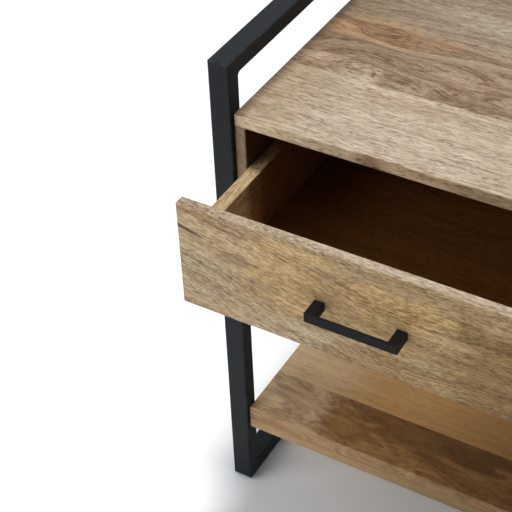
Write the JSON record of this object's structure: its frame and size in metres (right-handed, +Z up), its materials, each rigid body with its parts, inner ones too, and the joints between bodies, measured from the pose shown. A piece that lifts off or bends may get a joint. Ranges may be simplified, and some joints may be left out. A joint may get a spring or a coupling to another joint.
{
  "type": "side table with drawer",
  "caption": "Side table: a wooden cabinet with a sliding inset drawer and a lower shelf, carried between two closed loops of rectangular steel tube.",
  "frame": {"origin": "on the floor below the middle of the bounding box, with the drawer part open", "axes": "+Z up, +X to the right across the front, +Y to the back; the drawer opens along -Y"},
  "size_m": [0.5052, 0.5586, 0.642],
  "materials": {
    "black_steel": "satin black powder coat with a fine texture",
    "black_handle": "matt black paint",
    "mango_top": "light mango wood planks, thin matt lacquer",
    "mango_front": "mango wood with flowing grain, thin matt lacquer",
    "mango_cabinet": "mango wood, thin matt lacquer",
    "mango_shelf": "mango wood planks of brown and honey tone, thin matt lacquer",
    "drawer_wood": "pale planed wood, thin matt lacquer",
    "zinc_screw": "zinc plated",
    "black_plastic": "moulded plastic"
  },
  "bodies": {
    "table": {"back_panel": "mango_cabinet", "cabinet_bottom": "mango_cabinet", "left_floor_rail": "black_steel", "left_front_glide": "black_plastic", "left_front_leg": "black_steel", "left_front_lower_screw": "zinc_screw", "left_front_shelf_screw": "zinc_screw", "left_front_upper_screw": "zinc_screw", "left_rear_glide": "black_plastic", "left_rear_leg": "black_steel", "left_rear_lower_screw": "zinc_screw", "left_rear_shelf_screw": "zinc_screw", "left_rear_upper_screw": "zinc_screw", "left_runner": "drawer_wood", "left_runner_screw_1": "zinc_screw", "left_runner_screw_2": "zinc_screw", "left_side_panel": "mango_cabinet", "left_top_bar": "black_steel", "right_floor_rail": "black_steel", "right_front_glide": "black_plastic", "right_front_leg": "black_steel", "right_front_lower_screw": "zinc_screw", "right_front_shelf_screw": "zinc_screw", "right_front_upper_screw": "zinc_screw", "right_rear_glide": "black_plastic", "right_rear_leg": "black_steel", "right_rear_lower_screw": "zinc_screw", "right_rear_shelf_screw": "zinc_screw", "right_rear_upper_screw": "zinc_screw", "right_runner": "drawer_wood", "right_runner_screw_1": "zinc_screw", "right_runner_screw_2": "zinc_screw", "right_side_panel": "mango_cabinet", "right_top_bar": "black_steel", "shelf_board": "mango_shelf", "shelf_front_lip": "mango_shelf", "shelf_rear_lip": "mango_shelf", "top_panel": "mango_top"},
    "drawer": {"drawer_back": "drawer_wood", "drawer_floor": "drawer_wood", "drawer_front": "mango_front", "drawer_handle": "black_handle", "drawer_left_side": "drawer_wood", "drawer_right_side": "drawer_wood", "left_handle_screw": "zinc_screw", "right_handle_screw": "zinc_screw"}
  },
  "joints": [
    {"name": "drawer_slide", "type": "slide", "parent": "table", "child": "drawer", "axis": [0, -1, 0], "range_m": [-0.14, 0.11]}
  ]
}
